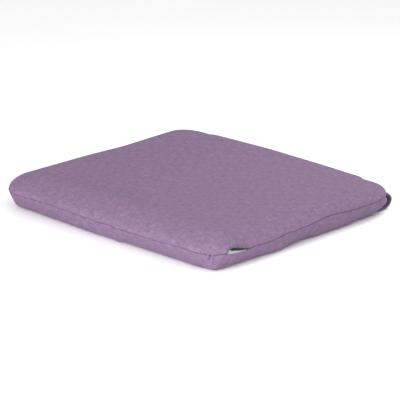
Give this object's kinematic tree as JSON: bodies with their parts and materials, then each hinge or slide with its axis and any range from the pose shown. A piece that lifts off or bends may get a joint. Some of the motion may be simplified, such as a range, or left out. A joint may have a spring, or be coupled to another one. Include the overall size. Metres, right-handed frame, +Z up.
{
  "type": "seat pad",
  "caption": "Flat square seat pad: foam core wrapped in wadding in a zipped cloth cover, with a rear seam zip and hook-and-loop straps at the rear corners.",
  "frame": {"origin": "centre of the underside, the flat face that the pad rests on", "axes": "+X to the pad's right, where the side label is; the front edge is at -Y and the zip and straps are at +Y; +Z up"},
  "size_m": [0.4722, 0.41, 0.052],
  "materials": {
    "cover_cloth": "plain-weave mauve polyester-cotton cloth, matt",
    "thread": "dark mauve polyester sewing thread",
    "foam": "open-cell polyurethane foam, cut faces",
    "wadding": "white bonded polyester wadding",
    "zip_tape": "woven polyester zip tape",
    "zip_teeth": "moulded acetal teeth",
    "zip_metal": "die-cast zinc, painted mauve",
    "hook_tape": "beige nylon hook tape",
    "loop_tape": "grey nylon loop tape",
    "label_cloth": "black woven satin label with a grey edge band, bare",
    "care_cloth": "white printed-satin tape, bare"
  },
  "bodies": {
    "pad": {"cover_top_panel": "cover_cloth", "cover_bottom_panel": "cover_cloth", "seam_thread": "thread", "foam_core": "foam", "wadding_top": "wadding", "wadding_bottom": "wadding", "zip_tape_upper": "zip_tape", "zip_tape_lower": "zip_tape", "zip_teeth_upper": "zip_teeth", "zip_teeth_lower": "zip_teeth", "zip_top_stops": "zip_metal", "zip_bottom_stop": "zip_metal", "loop_tape_right": "loop_tape", "loop_tape_left": "loop_tape", "side_label": "label_cloth", "care_label": "care_cloth"},
    "slider": {"zip_slider": "zip_metal"},
    "pull": {"zip_pull": "zip_metal"},
    "strap_right": {"strap_right": "cover_cloth", "hook_tape_right": "hook_tape"},
    "strap_left": {"strap_left": "cover_cloth", "hook_tape_left": "hook_tape"}
  },
  "joints": [
    {"name": "zip_slide", "type": "slide", "parent": "pad", "child": "slider", "axis": [-1, 0, 0], "range_m": [0, 0.28], "deforming": ["zip_teeth_upper", "zip_teeth_lower"]},
    {"name": "pull_flip", "type": "hinge", "parent": "slider", "child": "pull", "pos_m": [0.1426, 0.2053, 0.027], "axis": [0, 0, -1], "range_deg": [0, 175]},
    {"name": "strap_right_swing", "type": "hinge", "parent": "pad", "child": "strap_right", "pos_m": [0.191, 0.2044, 0.027], "axis": [1, 0, 0], "range_deg": [0, 110]},
    {"name": "strap_left_swing", "type": "hinge", "parent": "pad", "child": "strap_left", "pos_m": [-0.191, 0.2044, 0.027], "axis": [1, 0, 0], "range_deg": [0, 110]}
  ]
}
